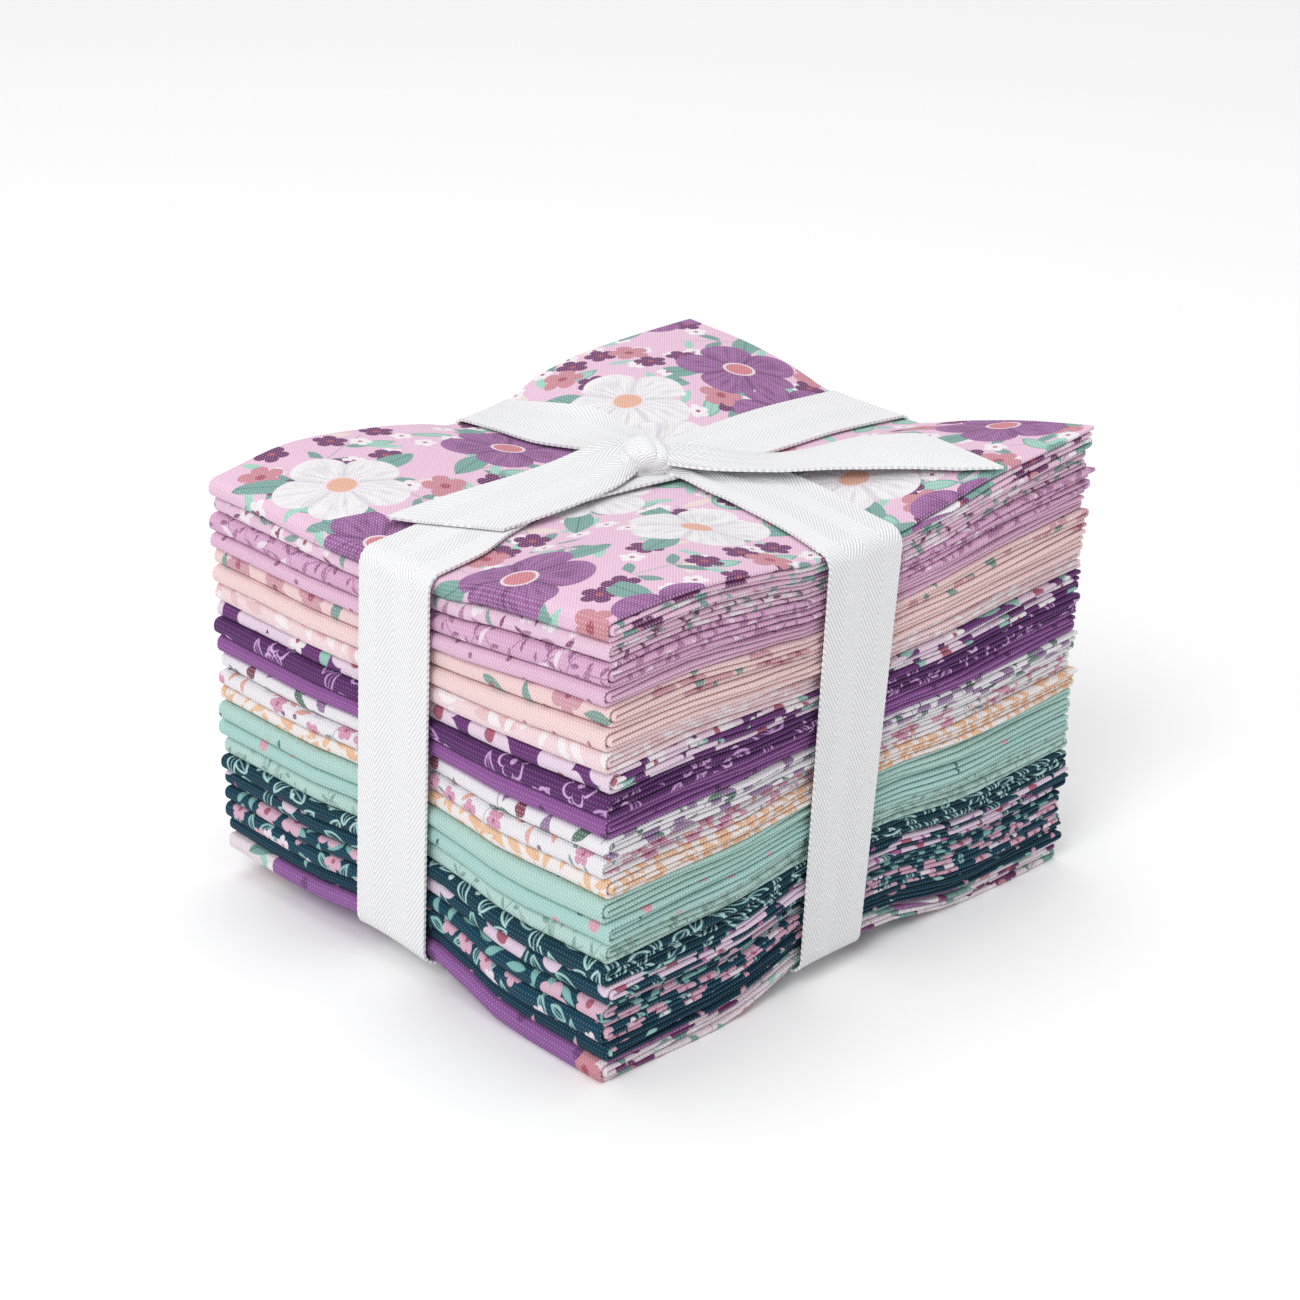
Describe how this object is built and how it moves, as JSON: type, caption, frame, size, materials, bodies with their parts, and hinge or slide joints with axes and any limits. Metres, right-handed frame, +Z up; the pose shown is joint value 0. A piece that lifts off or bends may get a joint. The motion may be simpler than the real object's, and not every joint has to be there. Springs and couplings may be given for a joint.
{
  "type": "fat quarter bundle",
  "caption": "Stack of folded printed cotton cuts for quilting, tied crosswise with a white twill ribbon knotted on top, its free ends cut on a slant.",
  "frame": {"origin": "centre of the bundle's footprint, on the surface it rests on", "axes": "+Z up, from the surface to the knot; +X along the folded cuts from their smooth outer folds at -X to their free ends; -Y towards the side with the nested edges of the first fold"},
  "size_m": [0.1362, 0.1172, 0.0967],
  "materials": {
    "lilac_pink_large_flowers": "lilac pink cotton with large flowers, plain weave, matt",
    "pale_pink_small_flowers": "pale pink cotton with small flowers, plain weave, matt",
    "orchid_tone_on_tone": "orchid cotton, tone on tone, plain weave, matt",
    "mauve_fine_dots": "mauve cotton with fine dots, plain weave, matt",
    "peach_small_motifs": "peach cotton with small motifs, plain weave, matt",
    "peach_plain": "peach cotton, nearly plain, plain weave, matt",
    "blush_brush_marks": "blush cotton with pale brush marks, plain weave, matt",
    "purple_flowers": "purple cotton with flowers, plain weave, matt",
    "deep_purple_sketched": "deep purple cotton with sketched flowers, plain weave, matt",
    "orchid_purple_dots": "orchid purple cotton with dark dots, plain weave, matt",
    "white_green_leaves": "white cotton with green leaves, plain weave, matt",
    "white_coral_sprigs": "white cotton with coral sprigs, plain weave, matt",
    "apricot_leaves": "apricot cotton with pale leaves, plain weave, matt",
    "mint_ticks": "mint cotton with small ticks, plain weave, matt",
    "mint_small_motifs": "mint cotton with small motifs, plain weave, matt",
    "sage_leaf_sketch": "sage cotton with sketched leaves, plain weave, matt",
    "deep_teal_leaf_outlines": "deep teal cotton with leaf outlines, plain weave, matt",
    "navy_pink_petals": "navy cotton with pink petals, plain weave, matt",
    "teal_rose_sprays": "deep teal cotton with rose and mint sprays, plain weave, matt",
    "navy_small_flowers": "navy cotton with small flowers, plain weave, matt",
    "deep_teal_plain": "deep teal cotton, nearly plain, plain weave, matt",
    "orchid_purple_border": "orchid purple cotton with small flowers and a pale border, plain weave, matt",
    "twill_ribbon": "white cotton herringbone twill ribbon, matt, serrated selvedges"
  },
  "bodies": {
    "root": {"fat_quarter_01": "lilac_pink_large_flowers", "fat_quarter_02": "pale_pink_small_flowers", "fat_quarter_03": "orchid_tone_on_tone", "fat_quarter_04": "mauve_fine_dots", "fat_quarter_05": "peach_small_motifs", "fat_quarter_06": "peach_plain", "fat_quarter_07": "blush_brush_marks", "fat_quarter_08": "purple_flowers", "fat_quarter_09": "deep_purple_sketched", "fat_quarter_10": "orchid_purple_dots", "fat_quarter_11": "white_green_leaves", "fat_quarter_12": "white_coral_sprigs", "fat_quarter_13": "apricot_leaves", "fat_quarter_14": "mint_ticks", "fat_quarter_15": "mint_small_motifs", "fat_quarter_16": "sage_leaf_sketch", "fat_quarter_17": "deep_teal_leaf_outlines", "fat_quarter_18": "navy_pink_petals", "fat_quarter_19": "teal_rose_sprays", "fat_quarter_20": "navy_small_flowers", "fat_quarter_21": "deep_teal_plain", "fat_quarter_22": "orchid_purple_border", "ribbon_tie": "twill_ribbon"}
  },
  "joints": []
}
